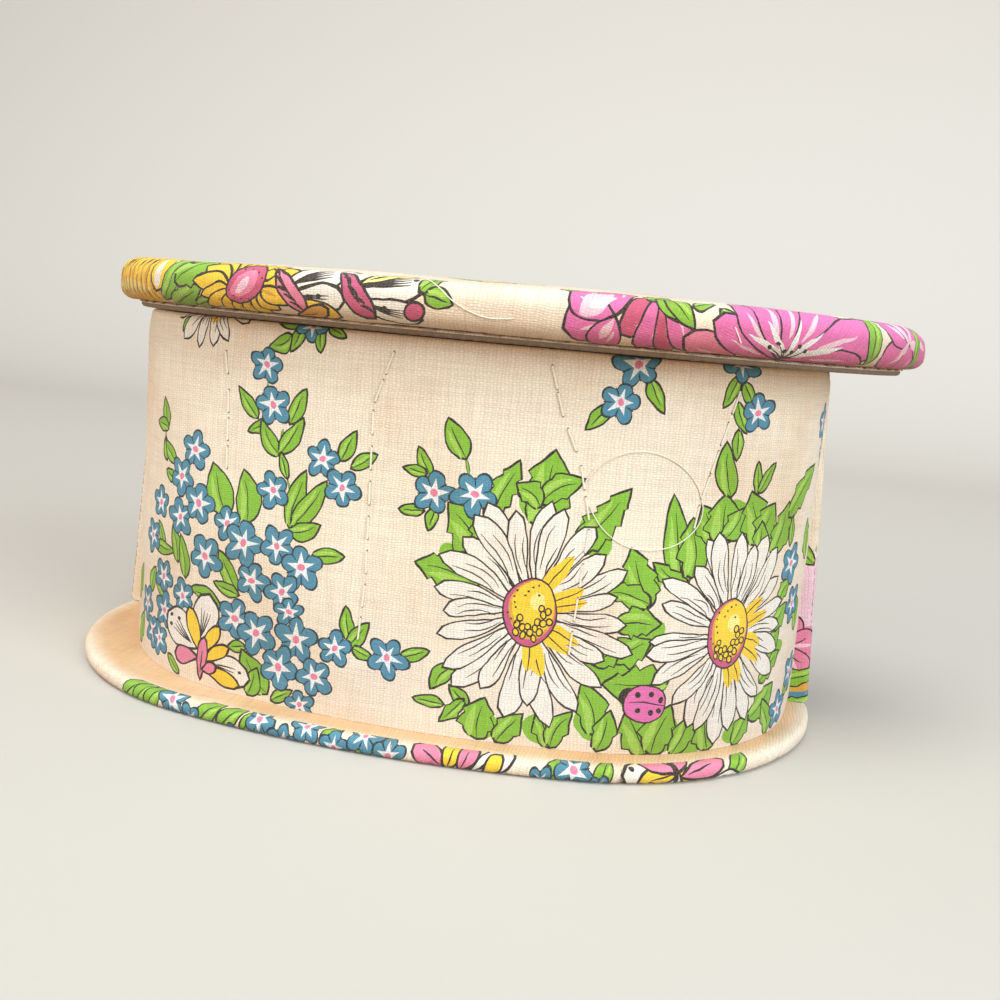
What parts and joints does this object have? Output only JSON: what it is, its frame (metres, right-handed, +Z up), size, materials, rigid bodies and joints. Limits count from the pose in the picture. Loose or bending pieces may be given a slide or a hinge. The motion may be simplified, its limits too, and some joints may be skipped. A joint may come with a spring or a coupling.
{
  "type": "trinket box",
  "caption": "D-shaped cloth-covered card trinket box with a bowed quilted front, wide base board and padded lid on a cloth hinge.",
  "frame": {"origin": "middle of the flat underside of the base board", "axes": "+X to the right along the straight back, -Y towards the bowed front, +Z up"},
  "size_m": [0.1537, 0.0582, 0.0759],
  "materials": {
    "board": "matte",
    "printed_cotton": "matte woven cotton",
    "plain_cotton": "matte woven cotton",
    "wadding": "soft",
    "thread": "matte"
  },
  "bodies": {
    "box": {"base_board": "board", "wall_card": "board", "back_card": "board", "floor_card": "board", "base_cover": "printed_cotton", "wall_cover": "printed_cotton", "back_cover": "printed_cotton", "base_underside": "plain_cotton", "wall_lining": "plain_cotton", "back_lining": "plain_cotton", "floor_lining": "plain_cotton", "hinge_cloth_back": "plain_cotton", "wall_wadding": "wadding", "floor_wadding": "wadding", "underside_stitches": "thread", "rim_stitches": "thread", "quilting_stitches": "thread", "side_seam_stitches": "thread", "hinge_stitches_back": "thread"},
    "lid": {"lid_board": "board", "lid_pad": "wadding", "lid_cover": "printed_cotton", "lid_liner_card": "board", "lid_liner": "plain_cotton", "lid_stitches": "thread", "hinge_cloth_lid": "plain_cotton", "hinge_stitches_lid": "thread"}
  },
  "joints": [
    {"name": "lid_hinge", "type": "hinge", "parent": "box", "child": "lid", "pos_m": [0, 0.02795, 0.06655], "axis": [-1, 0, 0], "range_deg": [0, 165]}
  ]
}
